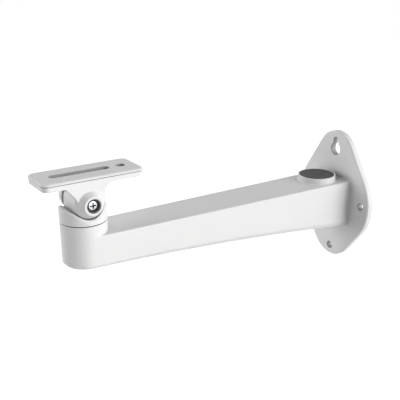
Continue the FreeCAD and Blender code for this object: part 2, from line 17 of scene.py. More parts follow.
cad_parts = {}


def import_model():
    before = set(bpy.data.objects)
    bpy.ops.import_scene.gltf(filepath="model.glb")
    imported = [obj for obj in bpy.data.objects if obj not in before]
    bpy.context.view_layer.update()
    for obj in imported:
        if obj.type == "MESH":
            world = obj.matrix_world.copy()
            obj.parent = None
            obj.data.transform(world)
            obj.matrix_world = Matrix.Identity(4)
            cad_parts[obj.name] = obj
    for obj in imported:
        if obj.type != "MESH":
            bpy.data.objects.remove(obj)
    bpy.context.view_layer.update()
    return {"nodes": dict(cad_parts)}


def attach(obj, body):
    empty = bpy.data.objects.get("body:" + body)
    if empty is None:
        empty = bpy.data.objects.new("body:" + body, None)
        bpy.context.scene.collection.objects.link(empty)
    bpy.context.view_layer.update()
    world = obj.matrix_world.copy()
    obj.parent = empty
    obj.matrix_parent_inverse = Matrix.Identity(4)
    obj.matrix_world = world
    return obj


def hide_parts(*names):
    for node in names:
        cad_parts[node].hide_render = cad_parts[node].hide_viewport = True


LOG = logging.getLogger("bracket")
MM = 0.001
# Points of a mesh that lie this close together become one, in millimetres
MERGE_MM = 1e-4
# Edges that turn by more than this stay crisp
SHARP_DEG = 32.0
# How far off its rim a point may lie and still belong to it
RIM_SLACK = 0.02
# How far a cutter stands out past the face that it opens
OVERSHOOT = 1.0
# A thread's depth, and where its crest starts and ends, as shares of its pitch
THREAD_DEPTH = 0.54
THREAD_CREST = (0.42, 0.58)
THREAD_STEPS = 24
# How far a spring washer's cut leans, as a share of its thickness
CUT_SLANT = 0.35
# A hole's wall is made of flat facets, so a point on it can lie a little off the true radius
WALL_MARGIN = 0.07


# Small tools

def linear(code: str) -> tuple[float, float, float, float]:
    """Turns an sRGB hex colour into a linear one, by the formula of the sRGB standard.

    Args:
        code: The colour as "#RRGGBB".

    Returns:
        Red, green, blue and an alpha of one.
    """
    channels = [int(code[i:i + 2], 16) / 255 for i in (1, 3, 5)]
    red, green, blue = [c / 12.92 if c <= 0.04045 else ((c + 0.055) / 1.055) ** 2.4 for c in channels]
    return red, green, blue, 1.0


def add_node(tree: bpy.types.NodeTree, kind: str, settings: dict | None = None, values: dict | None = None,
             links: dict | None = None) -> bpy.types.Node:
    """Adds a node with its settings and links.

    Args:
        tree: The node tree that gets the node.
        kind: The node's type name.
        settings: Properties of the node and what they are set to.
        values: Input names or numbers and their constant values.
        links: Input names or numbers and the output sockets that feed them.

    Returns:
        The new node.
    """
    node = tree.nodes.new(kind)
    for name, value in (settings or {}).items():
        setattr(node, name, value)
    for name, value in (values or {}).items():
        node.inputs[name].default_value = value
    for name, socket in (links or {}).items():
        tree.links.new(socket, node.inputs[name])
    return node


def empty_tree(owner: bpy.types.Material | bpy.types.World) -> bpy.types.NodeTree:
    """Gives a material or a world a node tree with nothing in it.

    Args:
        owner: The material or the world.

    Returns:
        Its node tree.
    """
    owner.use_nodes = True
    owner.node_tree.nodes.clear()
    return owner.node_tree


def cells_per_metre(size_mm: float) -> float:
    """The texture scale that gives a pattern features of this size."""
    return 1 / (size_mm * MM)


class Direction(Enum):
    """Which way a turned piece's own axis points once it is in place."""

    UP = Matrix.Identity(4)
    RIGHT = Matrix.Rotation(math.pi / 2, 4, "Y")
    LEFT = Matrix.Rotation(-math.pi / 2, 4, "Y")


# Finishes

@dataclass(frozen=True)
class HoleWithPaintedShade:
    """A hole or slot whose walls get painted shade, a grey that stands in for the shade inside it.

    The half run says how far the middle of the hole reaches each way from its centre, through the part and
    along a slot. Sizes are in millimetres.
    """

    centre: tuple[float, float, float]
    half_run: tuple[float, float, float]
    radius: float


def hole_walls_for_painted_shade(tree: bpy.types.NodeTree, place: bpy.types.NodeSocket,
               holes: tuple[HoleWithPaintedShade, ...]) -> bpy.types.NodeSocket | None:
    """Finds the walls of the holes that get painted shade.

    Args:
        tree: The material's node tree.
        place: Where a point of the surface is, in metres.
        holes: The holes.

    Returns:
        One on the walls and zero elsewhere, or None without holes.
    """
    total = None
    for hole in holes:
        half = Vector(hole.half_run) * MM
        offset = add_node(tree, "ShaderNodeVectorMath", {"operation": "SUBTRACT"},
                          {1: Vector(hole.centre) * MM}, {0: place})
        above = add_node(tree, "ShaderNodeVectorMath", {"operation": "MAXIMUM"}, {1: -half},
                         {0: offset.outputs[0]})
        inner = add_node(tree, "ShaderNodeVectorMath", {"operation": "MINIMUM"}, {1: half},
                         {0: above.outputs[0]})
        away = add_node(tree, "ShaderNodeVectorMath", {"operation": "DISTANCE"},
                        links={0: offset.outputs[0], 1: inner.outputs[0]})
        wall = add_node(tree, "ShaderNodeMath", {"operation": "LESS_THAN"},
                        {1: (hole.radius + WALL_MARGIN) * MM}, {0: away.outputs["Value"]})
        if total is None:
            total = wall.outputs[0]
        else:
            total = add_node(tree, "ShaderNodeMath", {"operation": "MAXIMUM"},
                             links={0: total, 1: wall.outputs[0]}).outputs[0]
    return total


@dataclass(frozen=True)
class PaintedShadowLine:
    """A painted shadow line around a casting, in the corner under a lip: its height and its width in
    millimetres.
    """

    height: float
    width: float


@dataclass(frozen=True)
class PowderCoat:
    """White polyester powder coat, baked on a die-cast aluminium part.

    A satin white skin with a fine orange peel, softly rounded over every cast edge. Painted shade darkens
    the inner corners by how closed in each point is, so each crease and recess reads darker than the open
    faces.
    """

    name: str = "powder_coat_on_cast_aluminium"
    light: str = "#EBEBEA"
    shade: str = "#E7E7E7"
    roughness: tuple[float, float] = (0.40, 0.47)
    cloud_mm: float = 28.0
    # Real orange peel is about 1 mm from crest to crest, drawn a little coarser to show at all
    peel_mm: float = 1.5
    peel_height_mm: float = 0.006
    edge_round_mm: float = 0.55
    edge_samples: int = 8
    # How far away a face still darkens a corner with painted shade, and the openness at which that painted
    # shade is full and is gone
    painted_shade_reach_mm: float = 14.0
    painted_shade_open: tuple[float, float] = (0.08, 0.85)
    painted_corner_shade: str = "#767676"
    painted_shade_samples: int = 16
    # Painted shade for the walls of holes and slots
    painted_hole_wall_shade: str = "#A8A9AA"
    # Painted shadow for the line under the platform's lip
    painted_lip_shadow: str = "#8A8A8A"

    def colour_with_painted_shade(self, tree: bpy.types.NodeTree, cloud: bpy.types.Node) -> bpy.types.NodeSocket:
        """Works out the coat's colour, with painted shade darkening the inner corners.

        Args:
            tree: The material's node tree.
            cloud: The slow noise that varies the coat over the casting.

        Returns:
            The colour.
        """
        unshaded_colour = add_node(tree, "ShaderNodeMix", {"data_type": "RGBA"},
                         {6: linear(self.light), 7: linear(self.shade)}, {0: cloud.outputs["Fac"]})
        # Painted shade: the colour darkens where ambient occlusion finds the point closed in
        openness = add_node(tree, "ShaderNodeAmbientOcclusion", {"samples": self.painted_shade_samples},
                            {"Distance": self.painted_shade_reach_mm * MM})
        exposed = add_node(tree, "ShaderNodeMapRange",
                           values={"From Min": self.painted_shade_open[0], "From Max": self.painted_shade_open[1]},
                           links={"Value": openness.outputs["AO"]})
        unshaded_share = add_node(tree, "ShaderNodeMath", {"operation": "SQRT"},
                           links={0: exposed.outputs["Result"]})
        colour = add_node(tree, "ShaderNodeMix", {"data_type": "RGBA"}, {6: linear(self.painted_corner_shade)},
                          {0: unshaded_share.outputs[0], 7: unshaded_colour.outputs[2]})
        return colour.outputs[2]

    def make(self, part: str, holes: tuple[HoleWithPaintedShade, ...] = (),
             painted_shadow_line: PaintedShadowLine | None = None) -> bpy.types.Material:
        """Builds the material.

        Args:
            part: The casting that it goes on, for its name.
            holes: The holes whose walls get painted shade.
            painted_shadow_line: Where a painted shadow line runs round the casting, under its lip.

        Returns:
            The material.
        """
        material = bpy.data.materials.new(f"{self.name}_{part}")
        tree = empty_tree(material)
        place = add_node(tree, "ShaderNodeTexCoord").outputs["Object"]
        cloud = add_node(tree, "ShaderNodeTexNoise",
                         values={"Scale": cells_per_metre(self.cloud_mm), "Detail": 3.0},
                         links={"Vector": place})
        colour = self.colour_with_painted_shade(tree, cloud)
        # Painted shadow: a dark band in the corner under the lip
        if painted_shadow_line is not None:
            height = add_node(tree, "ShaderNodeSeparateXYZ", links={0: place}).outputs["Z"]
            shadowed = add_node(tree, "ShaderNodeMath", {"operation": "COMPARE"},
                               {1: painted_shadow_line.height * MM, 2: painted_shadow_line.width / 2 * MM}, {0: height})
            colour = add_node(tree, "ShaderNodeMix", {"data_type": "RGBA"}, {7: linear(self.painted_lip_shadow)},
                              {0: shadowed.outputs[0], 6: colour}).outputs[2]
        # Painted shade: the walls of the holes are made grey
        walls = hole_walls_for_painted_shade(tree, place, holes)
        if walls is not None:
            colour = add_node(tree, "ShaderNodeMix", {"data_type": "RGBA"}, {7: linear(self.painted_hole_wall_shade)},
                              {0: walls, 6: colour}).outputs[2]
        gloss = add_node(tree, "ShaderNodeMapRange",
                         values={"To Min": self.roughness[0], "To Max": self.roughness[1]},
                         links={"Value": cloud.outputs["Fac"]})
        peel = add_node(tree, "ShaderNodeTexNoise",
                        values={"Scale": cells_per_metre(self.peel_mm), "Detail": 1.0},
                        links={"Vector": place})
        edges = add_node(tree, "ShaderNodeBevel", {"samples": self.edge_samples},
                         {"Radius": self.edge_round_mm * MM})
        skin = add_node(tree, "ShaderNodeBump",
                        values={"Strength": 1.0, "Distance": self.peel_height_mm * MM},
                        links={"Height": peel.outputs["Fac"], "Normal": edges.outputs["Normal"]})
        coat = add_node(tree, "ShaderNodeBsdfPrincipled", values={"IOR": 1.5},
                        links={"Base Color": colour, "Roughness": gloss.outputs["Result"],
                               "Normal": skin.outputs["Normal"]})
        add_node(tree, "ShaderNodeOutputMaterial", links={"Surface": coat.outputs["BSDF"]})
        return material


@dataclass(frozen=True)
class MouldedPolymer:
    """A moulded rubber or plastic, by default compression-moulded EPDM: matt, with a blasted mould's grain.

    The grain breaks up the highlight, so that the piece reads soft beside the coated metal.
    """

    name: str = "moulded_epdm_rubber"
    light: str = "#4E4E4F"
    dark: str = "#454546"
    roughness: tuple[float, float] = (0.62, 0.78)
    cloud_mm: float = 9.0
    # The mould's grain is about 0.1 mm, drawn at 0.6 mm so that it shows
    grain_mm: float = 0.6
    grain_height_mm: float = 0.012

    def make(self) -> bpy.types.Material:
        """Builds the material.

        Returns:
            The material.
        """
        material = bpy.data.materials.new(self.name)
        tree = empty_tree(material)
        place = add_node(tree, "ShaderNodeTexCoord").outputs["Object"]
        cloud = add_node(tree, "ShaderNodeTexNoise",
                         values={"Scale": cells_per_metre(self.cloud_mm), "Detail": 4.0},
                         links={"Vector": place})
        colour = add_node(tree, "ShaderNodeMix", {"data_type": "RGBA"},
                          {6: linear(self.light), 7: linear(self.dark)}, {0: cloud.outputs["Fac"]})
        gloss = add_node(tree, "ShaderNodeMapRange",
                         values={"To Min": self.roughness[0], "To Max": self.roughness[1]},
                         links={"Value": cloud.outputs["Fac"]})
        grain = add_node(tree, "ShaderNodeTexNoise",
                         values={"Scale": cells_per_metre(self.grain_mm), "Detail": 2.0},
                         links={"Vector": place})
        skin = add_node(tree, "ShaderNodeBump",
                        values={"Strength": 1.0, "Distance": self.grain_height_mm * MM},
                        links={"Height": grain.outputs["Fac"]})
        polymer = add_node(tree, "ShaderNodeBsdfPrincipled", values={"IOR": 1.52, "Specular IOR Level": 0.3},
                           links={"Base Color": colour.outputs[2], "Roughness": gloss.outputs["Result"],
                                  "Normal": skin.outputs["Normal"]})
        add_node(tree, "ShaderNodeOutputMaterial", links={"Surface": polymer.outputs["BSDF"]})
        return material


@dataclass(frozen=True)
class ZincPlate:
    """Bright zinc plate on cold-formed steel: a clean silver with faint tumbling marks.

    Painted shade darkens its recesses, so that a driver's cross reads from a distance.
    """

    name: str = "zinc_plated_steel"
    light: str = "#E4E5E7"
    dark: str = "#C3C6CA"
    roughness: tuple[float, float] = (0.22, 0.34)
    cloud_mm: float = 1.8
    # Tumbling marks are a few hundredths wide, drawn at 0.3 mm so that they show
    mark_mm: float = 0.3
    mark_height_mm: float = 0.003
    # Painted shade in the recesses: how far it reaches, the openness at which it is full and gone, and its
    # colour
    painted_recess_shade_reach_mm: float = 2.0
    painted_recess_shade_open: tuple[float, float] = (0.3, 0.8)
    painted_recess_shade: str = "#3A3B3D"
    painted_recess_shade_samples: int = 8

    def make(self) -> bpy.types.Material:
        """Builds the material.

        Returns:
            The material.
        """
        material = bpy.data.materials.new(self.name)
        tree = empty_tree(material)
        place = add_node(tree, "ShaderNodeTexCoord").outputs["Object"]
        cloud = add_node(tree, "ShaderNodeTexNoise",
                         values={"Scale": cells_per_metre(self.cloud_mm), "Detail": 4.0},
                         links={"Vector": place})
        unshaded_colour = add_node(tree, "ShaderNodeMix", {"data_type": "RGBA"},
                         {6: linear(self.light), 7: linear(self.dark)}, {0: cloud.outputs["Fac"]})
        # Painted shade: the colour darkens where ambient occlusion finds the point closed in
        openness = add_node(tree, "ShaderNodeAmbientOcclusion", {"samples": self.painted_recess_shade_samples},
                            {"Distance": self.painted_recess_shade_reach_mm * MM})
        exposed = add_node(tree, "ShaderNodeMapRange",
                           values={"From Min": self.painted_recess_shade_open[0], "From Max": self.painted_recess_shade_open[1]},
                           links={"Value": openness.outputs["AO"]})
        colour = add_node(tree, "ShaderNodeMix", {"data_type": "RGBA"}, {6: linear(self.painted_recess_shade)},
                          {0: exposed.outputs["Result"], 7: unshaded_colour.outputs[2]})
        gloss = add_node(tree, "ShaderNodeMapRange",
                         values={"To Min": self.roughness[0], "To Max": self.roughness[1]},
                         links={"Value": cloud.outputs["Fac"]})
        marks = add_node(tree, "ShaderNodeTexVoronoi", {"feature": "F1"},
                         {"Scale": cells_per_metre(self.mark_mm)}, {"Vector": place})
        skin = add_node(tree, "ShaderNodeBump",
                        values={"Strength": 1.0, "Distance": self.mark_height_mm * MM},
                        links={"Height": marks.outputs["Distance"]})
        plate = add_node(tree, "ShaderNodeBsdfPrincipled", values={"Metallic": 1.0},
                         links={"Base Color": colour.outputs[2], "Roughness": gloss.outputs["Result"],
                                "Normal": skin.outputs["Normal"]})
        add_node(tree, "ShaderNodeOutputMaterial", links={"Surface": plate.outputs["BSDF"]})
        return material


@dataclass(frozen=True)
class TurnedAcetal:
    """Black acetal, turned from rod: a waxy dark ring, its sheen broken by fine tool marks."""

    name: str = "turned_black_acetal"
    light: str = "#2A2A2B"
    dark: str = "#1C1C1D"
    roughness: tuple[float, float] = (0.35, 0.5)
    # Tool marks are about 0.1 mm apart, drawn at 0.4 mm so that they show
    mark_mm: float = 0.4
    mark_height_mm: float = 0.004

    def make(self) -> bpy.types.Material:
        """Builds the material.

        Returns:
            The material.
        """
        material = bpy.data.materials.new(self.name)
        tree = empty_tree(material)
        place = add_node(tree, "ShaderNodeTexCoord").outputs["Object"]
        marks = add_node(tree, "ShaderNodeTexNoise",
                         values={"Scale": cells_per_metre(self.mark_mm), "Detail": 2.0},
                         links={"Vector": place})
        colour = add_node(tree, "ShaderNodeMix", {"data_type": "RGBA"},
                          {6: linear(self.light), 7: linear(self.dark)}, {0: marks.outputs["Fac"]})
        gloss = add_node(tree, "ShaderNodeMapRange",
                         values={"To Min": self.roughness[0], "To Max": self.roughness[1]},
                         links={"Value": marks.outputs["Fac"]})
        skin = add_node(tree, "ShaderNodeBump",
                        values={"Strength": 1.0, "Distance": self.mark_height_mm * MM},
                        links={"Height": marks.outputs["Fac"]})
        plastic = add_node(tree, "ShaderNodeBsdfPrincipled", values={"IOR": 1.48},
                           links={"Base Color": colour.outputs[2], "Roughness": gloss.outputs["Result"],
                                  "Normal": skin.outputs["Normal"]})
        add_node(tree, "ShaderNodeOutputMaterial", links={"Surface": plastic.outputs["BSDF"]})
        return material


# The screw's cup is injection-moulded nylon, lighter and a little glossier than the rubber
GREY_NYLON = MouldedPolymer("moulded_grey_nylon", "#8A8A8B", "#7C7C7D", (0.45, 0.58))
# On the small castings every face lies near another, so only the tight corners get painted shade
FINE_COAT = PowderCoat(painted_shade_reach_mm=3.0)


# Making pieces

@dataclass(frozen=True)
class RingSize:
    """A washer's radii, and where it starts and ends along its axis."""

    outer_r: float
    inner_r: float
    start: float
    end: float


@dataclass
class Bench:
    """Turns finished bmeshes into pieces of the object, and dresses CAD nodes."""

    nodes: dict[str, bpy.types.Object]

    def dress(self, node: str, material: bpy.types.Material) -> None:
        """Gives a CAD node its finish.

        Args:
            node: The CAD node.
            material: Its finish.
        """
        slots = self.nodes[node].data.materials
        slots.clear()
        slots.append(material)
        LOG.info("dressed %s in %s", node, material.name)

    def place(self, bm: bmesh.types.BMesh, name: str, origin: tuple[float, float, float],
              direction: Direction) -> bpy.types.Object:
        """Puts a mesh made in millimetres into the scene in metres.

        Args:
            bm: The mesh, around its own +Z axis. It is freed here.
            name: The new object's name.
            origin: Where the mesh's own origin goes, in millimetres.
            direction: Which way the mesh's own +Z axis goes.

        Returns:
            The new object, at the scene's origin.
        """
        bmesh.ops.remove_doubles(bm, verts=bm.verts, dist=MERGE_MM)
        bmesh.ops.recalc_face_normals(bm, faces=bm.faces)
        bmesh.ops.transform(bm, matrix=Matrix.Scale(MM, 4) @ Matrix.Translation(origin) @ direction.value,
                            verts=bm.verts)
        mesh = bpy.data.meshes.new(name)
        bm.to_mesh(mesh)
        bm.free()
        mesh.shade_smooth()
        mesh.set_sharp_from_angle(angle=math.radians(SHARP_DEG))
        piece = bpy.data.objects.new(name, mesh)
        bpy.context.scene.collection.objects.link(piece)
        return piece

    def carve(self, piece: bpy.types.Object, cutter: bpy.types.Object) -> None:
        """Cuts one mesh out of another and removes the cutter.

        Args:
            piece: The object that keeps the result.
            cutter: The object that is taken away from it.
        """
        cut = piece.modifiers.new("cut", "BOOLEAN")
        cut.operation = "DIFFERENCE"
        cut.solver = "EXACT"
        cut.use_self = True
        cut.object = cutter
        bpy.context.view_layer.update()
        ready = piece.evaluated_get(bpy.context.evaluated_depsgraph_get())
        carved = bpy.data.meshes.new_from_object(ready)
        piece.modifiers.clear()
        piece.data = carved
        carved.name = piece.name
        carved.shade_smooth()
        carved.set_sharp_from_angle(angle=math.radians(SHARP_DEG))
        bpy.data.objects.remove(cutter)

    def settle(self, piece: bpy.types.Object, material: bpy.types.Material, slot: str, body: str,
               node: str) -> None:
        """Finishes a piece that stands for a CAD node.

        Args:
            piece: The new piece.
            material: Its finish.
            slot: The record's material slot; not used.
            body: The body that it moves with.
            node: The CAD node that it stands for.
        """
        piece.data.materials.clear()
        piece.data.materials.append(material)
        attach(piece, body)
        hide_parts(node)
        LOG.info("built %s for %s, %d faces", piece.name, node, len(piece.data.polygons))


def turned(profile: list[tuple[float, float]], steps: int) -> bmesh.types.BMesh:
    """Spins a profile about the Z axis.

    Args:
        profile: Points as (radius, height), from the axis round to the axis, or closed on itself.
        steps: How many steps make the full turn.

    Returns:
        The closed mesh.
    """
    bm = bmesh.new()
    verts = [bm.verts.new((radius, 0, height)) for radius, height in profile]
    edges = [bm.edges.new(pair) for pair in zip(verts, verts[1:])]
    if profile[0][0] > 0:
        edges.append(bm.edges.new((verts[-1], verts[0])))
    bmesh.ops.spin(bm, geom=verts + edges, cent=(0, 0, 0), axis=(0, 0, 1), dvec=(0, 0, 0),
                   angle=2 * math.pi, steps=steps, use_merge=True)
    bmesh.ops.remove_doubles(bm, verts=bm.verts, dist=MERGE_MM)
    bmesh.ops.recalc_face_normals(bm, faces=bm.faces)
    return bm


def ease(bm: bmesh.types.BMesh, offset: float, chosen: Callable[[bmesh.types.BMEdge], bool],
         segments: int = 2) -> None:
    """Rounds the chosen edges of a mesh.

    Args:
        bm: The mesh.
        offset: How far the round reaches on each side of an edge, in millimetres.
        chosen: Says whether an edge is rounded.
        segments: How many faces the round has.
    """
    edges = [edge for edge in bm.edges if chosen(edge)]
    bmesh.ops.bevel(bm, geom=edges, offset=offset, offset_type="OFFSET", affect="EDGES", segments=segments,
                    profile=0.5, material=-1, clamp_overlap=True)


def is_rim(radius: float, height: float) -> Callable[[bmesh.types.BMEdge], bool]:
    """Makes a test for the edges of a turned mesh's rim.

    Args:
        radius: The rim's radius.
        height: The rim's height.

    Returns:
        The test, which takes an edge.
    """
    def chosen(edge: bmesh.types.BMEdge) -> bool:
        """Whether both ends of the edge are on the rim."""
        return all(abs(v.co.xy.length - radius) < RIM_SLACK and abs(v.co.z - height) < RIM_SLACK
                   for v in edge.verts)
    return chosen


def pull_up(bm: bmesh.types.BMesh, bottom: float, top: float) -> None:
    """Makes a closed bar of a flat face that lies at height zero.

    Args:
        bm: The mesh with the face.
        bottom: Where the bar starts.
        top: Where the bar ends.
    """
    bmesh.ops.translate(bm, vec=(0, 0, bottom), verts=bm.verts)
    raised = bmesh.ops.extrude_face_region(bm, geom=bm.faces[:])
    moved = [item for item in raised["geom"] if isinstance(item, bmesh.types.BMVert)]
    bmesh.ops.translate(bm, vec=(0, 0, top - bottom), verts=moved)
    bmesh.ops.recalc_face_normals(bm, faces=bm.faces)


def hexagon_bar(width: float, bottom: float, top: float) -> bmesh.types.BMesh:
    """A six-sided bar about the Z axis.

    Args:
        width: The distance across its flats.
        bottom: Where it starts.
        top: Where it ends.

    Returns:
        The closed mesh.
    """
    bm = bmesh.new()
    bmesh.ops.create_circle(bm, cap_ends=True, segments=6, radius=width / math.sqrt(3))
    pull_up(bm, bottom, top)
    return bm


def threaded_rod(radius: float, pitch: float, start: float, length: float) -> bmesh.types.BMesh:
    """A rod with a raised helical thread, about the Z axis.

    Args:
        radius: The thread's crest radius.
        pitch: The distance from one crest to the next.
        start: The height where the thread starts.
        length: How far the thread runs.

    Returns:
        The thread's helical skin with both ends closed.
    """
    root = radius - THREAD_DEPTH * pitch
    turns = max(1, round(length / pitch) - 1)
    bm = bmesh.new()
    crest_start, crest_end = (share * pitch for share in THREAD_CREST)
    points = [(root, 0.0), (radius, crest_start), (radius, crest_end), (root, pitch)]
    verts = [bm.verts.new((r, 0, start + z)) for r, z in points]
    edges = [bm.edges.new(pair) for pair in zip(verts, verts[1:])]
    bmesh.ops.spin(bm, geom=verts + edges, cent=(0, 0, 0), axis=(0, 0, 1), dvec=(0, 0, pitch / THREAD_STEPS),
                   angle=2 * math.pi * turns, steps=THREAD_STEPS * turns, use_merge=False)
    # Each turn meets the next one only roughly, so these points are merged more freely
    bmesh.ops.remove_doubles(bm, verts=bm.verts, dist=10 * MERGE_MM)
    bmesh.ops.holes_fill(bm, edges=[edge for edge in bm.edges if edge.is_boundary], sides=0)
    bmesh.ops.recalc_face_normals(bm, faces=bm.faces)
    return bm


def join(bm: bmesh.types.BMesh, other: bmesh.types.BMesh) -> None:
    """Adds another mesh to this one.

    Args:
        bm: The mesh that grows.
        other: The mesh that is added. It is freed here.
    """
    spare = bpy.data.meshes.new("spare")
    other.to_mesh(spare)
    other.free()
    bm.from_mesh(spare)
    bpy.data.meshes.remove(spare)


def split_ring(size: RingSize, cut: float) -> bmesh.types.BMesh:
    """A spring washer: a square-section ring with one slanted cut, lying on the XY plane.

    Args:
        size: Its size.
        cut: The cut's width along the outer edge.

    Returns:
        The closed mesh.
    """
    thickness = size.end - size.start
    slant = CUT_SLANT * thickness
    gap = cut / size.outer_r
    bm = bmesh.new()
    corners = [(size.outer_r, 0.0), (size.outer_r, thickness), (size.inner_r, thickness), (size.inner_r, 0.0)]
    turn = Matrix.Rotation(gap / 2, 4, "Z")
    verts = [bm.verts.new(turn @ Vector((r, slant * (z / thickness - 0.5), z))) for r, z in corners]
    end = bm.faces.new(verts)
    bmesh.ops.spin(bm, geom=[end], cent=(0, 0, 0), axis=(0, 0, 1), dvec=(0, 0, 0),
                   angle=2 * math.pi - gap, steps=64, use_merge=False)
    bmesh.ops.remove_doubles(bm, verts=bm.verts, dist=MERGE_MM)
    bmesh.ops.holes_fill(bm, edges=[edge for edge in bm.edges if edge.is_boundary], sides=0)
    bmesh.ops.recalc_face_normals(bm, faces=bm.faces)
    return bm


# The object's sub-assemblies

@dataclass
class WallArm:
    """The cast arm with its wall plate, and the rubber plug in its cable collar."""

    bench: Bench
    coat: PowderCoat
    rubber: bpy.types.Material
    # The plate's two side holes, its lower hole, and the keyhole's round mouth and neck
    holes: tuple[HoleWithPaintedShade, ...] = (
        HoleWithPaintedShade((-38.4, -3, 0), (0, 2.8, 0), 3.8),
        HoleWithPaintedShade((38.4, -3, 0), (0, 2.8, 0), 3.8),
        HoleWithPaintedShade((0, -3, -51.8), (0, 2.8, 0), 3.8),
        HoleWithPaintedShade((0, -3, 48.0), (0, 2.8, 0), 6.15),
        HoleWithPaintedShade((0, -3, 52.2), (0, 2.8, 4.2), 3.3),
    )
    plug_y: float = -28.4
    plug_top: float = 26.9
    head_r: float = 16.4
    head_thickness: float = 2.1
    head_round: float = 0.45
    dish_depth: float = 0.15
    dish_inset: float = 2.2
    # Where the dish has one more ring of points, and how deep it is there, as shares of its own size
    dish_ring: tuple[float, float] = (0.7, 0.75)
    skirt_r: float = 13.9
    skirt_wall: float = 1.8
    skirt_end: float = 16.5
    skirt_round: float = 0.25
    lip_r: float = 14.6
    lip_top: float = 17.7
    lip_edge: float = 0.25

    def dress_arm(self) -> None:
        """Coats the casting."""
        self.bench.dress("wall_arm", self.coat.make("wall_arm", self.holes))

    def build_plug(self) -> bpy.types.Object:
        """Spins the plug: a faintly dished head, and a hollow skirt with a snap lip.

        Returns:
            The plug.
        """
        top = self.plug_top
        under = top - self.head_thickness
        inner_r = self.skirt_r - self.skirt_wall
        dish_r = self.head_r - self.dish_inset
        ring_share, ring_depth = self.dish_ring
        profile = [(0, top - self.dish_depth), (dish_r * ring_share, top - self.dish_depth * ring_depth),
                   (dish_r, top), (self.head_r, top), (self.head_r, under), (self.skirt_r, under),
                   (self.skirt_r, self.lip_top), (self.lip_r, self.lip_top),
                   (self.lip_r, self.lip_top - self.lip_edge), (self.skirt_r, self.skirt_end),
                   (inner_r, self.skirt_end), (inner_r, under), (0, under)]
        bm = turned(profile, steps=96)
        ease(bm, self.head_round, is_rim(self.head_r, top), segments=3)
        ease(bm, self.skirt_round, is_rim(self.skirt_r, self.skirt_end))
        return self.bench.place(bm, "rubber_cable_plug", (0, self.plug_y, 0), Direction.UP)

    def build(self) -> None:
        """Builds and dresses the arm's pieces."""
        self.dress_arm()
        self.bench.settle(self.build_plug(), self.rubber, "plug_rubber", "arm", "cable_plug")


@dataclass
class SwivelUnit:
    """The turntable on the arm's end, with the screw and washers that hold it down."""

    bench: Bench
    coat: PowderCoat
    steel: bpy.types.Material
    plastic: bpy.types.Material
    pan_y: float = -270.0
    head_top: float = 12.8
    head_bottom: float = 6.8
    head_r: float = 5.0
    head_round: float = 0.35
    knurls: int = 48
    knurl_depth: float = 0.14
    key_width: float = 5.0
    key_depth: float = 3.0
    shank_r: float = 3.0
    shank_end: float = 38.7
    # How far the shank starts inside the head, so that the two overlap
    shank_overlap: float = 0.5
    thread_start: float = 24.2
    thread_pitch: float = 1.0
    # How far the core lies within the thread, and how far its run-out and its tapered tip reach
    core_inset: float = 0.55
    core_runout: float = 0.4
    tip_inset: float = 0.9
    tip_length: float = 0.4
    washer: RingSize = RingSize(6.0, 3.3, 14.4, 16.0)
    washer_rounds: tuple[float, float] = (0.2, 0.1)
    spring: RingSize = RingSize(5.4, 3.02, 12.8, 14.4)
    spring_cut: float = 1.2

    def dress_castings(self) -> None:
        """Coats the turntable and gives the ring under it its plastic."""
        self.bench.dress("swivel_base", self.coat.make("swivel_base"))
        self.bench.dress("pan_friction_ring", self.plastic)

    def build_screw(self) -> bpy.types.Object:
        """Builds the socket-head screw: knurled head, hexagon socket and threaded end.

        Returns:
            The screw.
        """
        bm = bmesh.new()
        bmesh.ops.create_circle(bm, cap_ends=True, segments=2 * self.knurls, radius=self.head_r)
        for index, vert in enumerate(bm.verts):
            if index % 2:
                vert.co.xy *= 1 - self.knurl_depth / self.head_r
        pull_up(bm, self.head_bottom, self.head_top)
        low = self.head_bottom + RIM_SLACK
        ease(bm, self.head_round, lambda edge: all(v.co.z < low for v in edge.verts))
        core_r = self.shank_r - self.core_inset
        shank_start = self.head_top - self.shank_overlap
        join(bm, turned([(0, shank_start), (self.shank_r, shank_start), (self.shank_r, self.thread_start),
                         (core_r, self.thread_start + self.core_runout),
                         (core_r, self.shank_end - self.tip_length),
                         (self.shank_r - self.tip_inset, self.shank_end), (0, self.shank_end)], steps=48))
        join(bm, threaded_rod(self.shank_r, self.thread_pitch, self.thread_start,
                              self.shank_end - self.thread_start - self.tip_length))
        screw = self.bench.place(bm, "socket_head_pan_screw", (0, self.pan_y, 0), Direction.UP)
        socket = hexagon_bar(self.key_width, self.head_bottom - OVERSHOOT, self.head_bottom + self.key_depth)
        cutter = self.bench.place(socket, "hexagon_key_socket", (0, self.pan_y, 0), Direction.UP)
        self.bench.carve(screw, cutter)
        return screw

    def build_washer(self) -> bpy.types.Object:
        """Builds the flat washer with its stamped, rolled edges.

        Returns:
            The washer.
        """
        size = self.washer
        bm = turned([(size.outer_r, size.start), (size.outer_r, size.end), (size.inner_r, size.end),
                     (size.inner_r, size.start)], steps=64)
        outer_round, inner_round = self.washer_rounds
        ease(bm, outer_round, is_rim(size.outer_r, size.start))
        ease(bm, inner_round, is_rim(size.inner_r, size.start), segments=1)
        return self.bench.place(bm, "flat_pan_washer", (0, self.pan_y, 0), Direction.UP)

    def build_spring(self) -> bpy.types.Object:
        """Builds the split spring washer."""
        bm = split_ring(self.spring, self.spring_cut)
        return self.bench.place(bm, "split_pan_washer", (0, self.pan_y, self.spring.start), Direction.UP)

    def build(self) -> None:
        """Builds and dresses the turntable's pieces."""
        self.dress_castings()
        self.bench.settle(self.build_screw(), self.steel, "plated_steel", "swivel", "pan_screw")
        self.bench.settle(self.build_washer(), self.steel, "plated_steel", "swivel", "pan_washer")
        self.bench.settle(self.build_spring(), self.steel, "plated_steel", "swivel", "pan_spring_washer")


